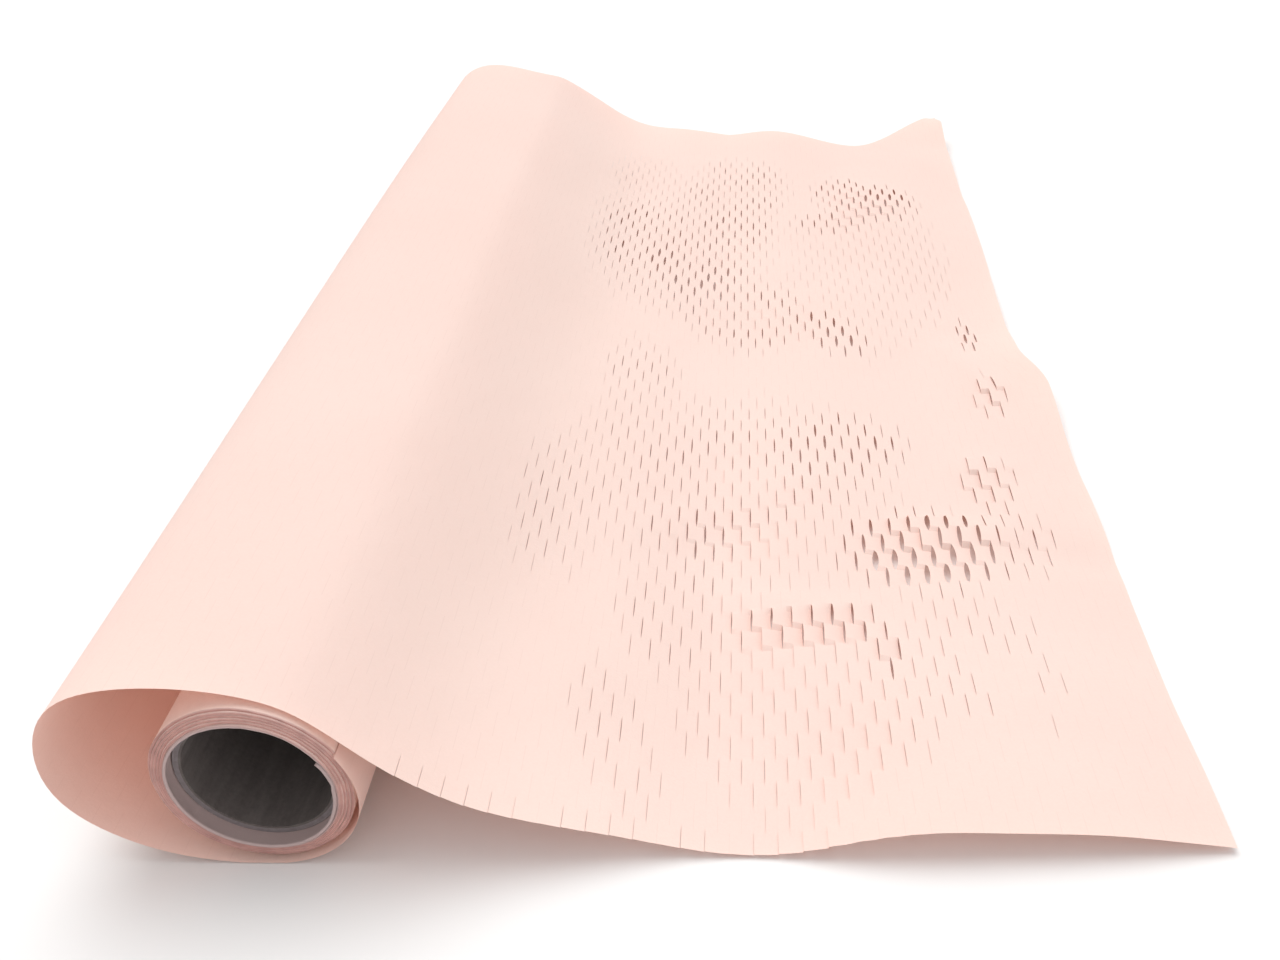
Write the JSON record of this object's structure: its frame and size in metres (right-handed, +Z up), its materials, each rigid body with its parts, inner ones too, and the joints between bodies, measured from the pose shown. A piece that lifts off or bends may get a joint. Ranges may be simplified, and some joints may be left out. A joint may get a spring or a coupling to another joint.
{
  "type": "wrapping paper roll",
  "caption": "Roll of slit cushioning gift wrap on a board core, lying on a table with its outer turn loosened and a sheet drawn off flat.",
  "frame": {"origin": "centre of the footprint, on the table under the paper", "axes": "+Y along the roll from its open near end, +X the way the paper is drawn out, +Z up"},
  "size_m": [0.2717, 0.5042, 0.0573],
  "materials": {
    "board": "matte",
    "paper": "matte"
  },
  "bodies": {
    "web": {"loose_turn": "paper"},
    "coil": {"core_liner": "board", "core_board": "board", "core_wrap": "board", "wound_paper": "paper"},
    "sheet": {"laid_sheet": "paper"}
  },
  "joints": [
    {"name": "coil_turn", "type": "hinge", "parent": "web", "child": "coil", "pos_m": [-0.08765, -0.00205, 0.0261], "axis": [0, 1, 0], "continuous": true},
    {"name": "sheet_lift", "type": "hinge", "parent": "web", "child": "sheet", "pos_m": [0.01675, 0, 0.001], "axis": [0, -1, 0], "range_deg": [0, 70]}
  ]
}
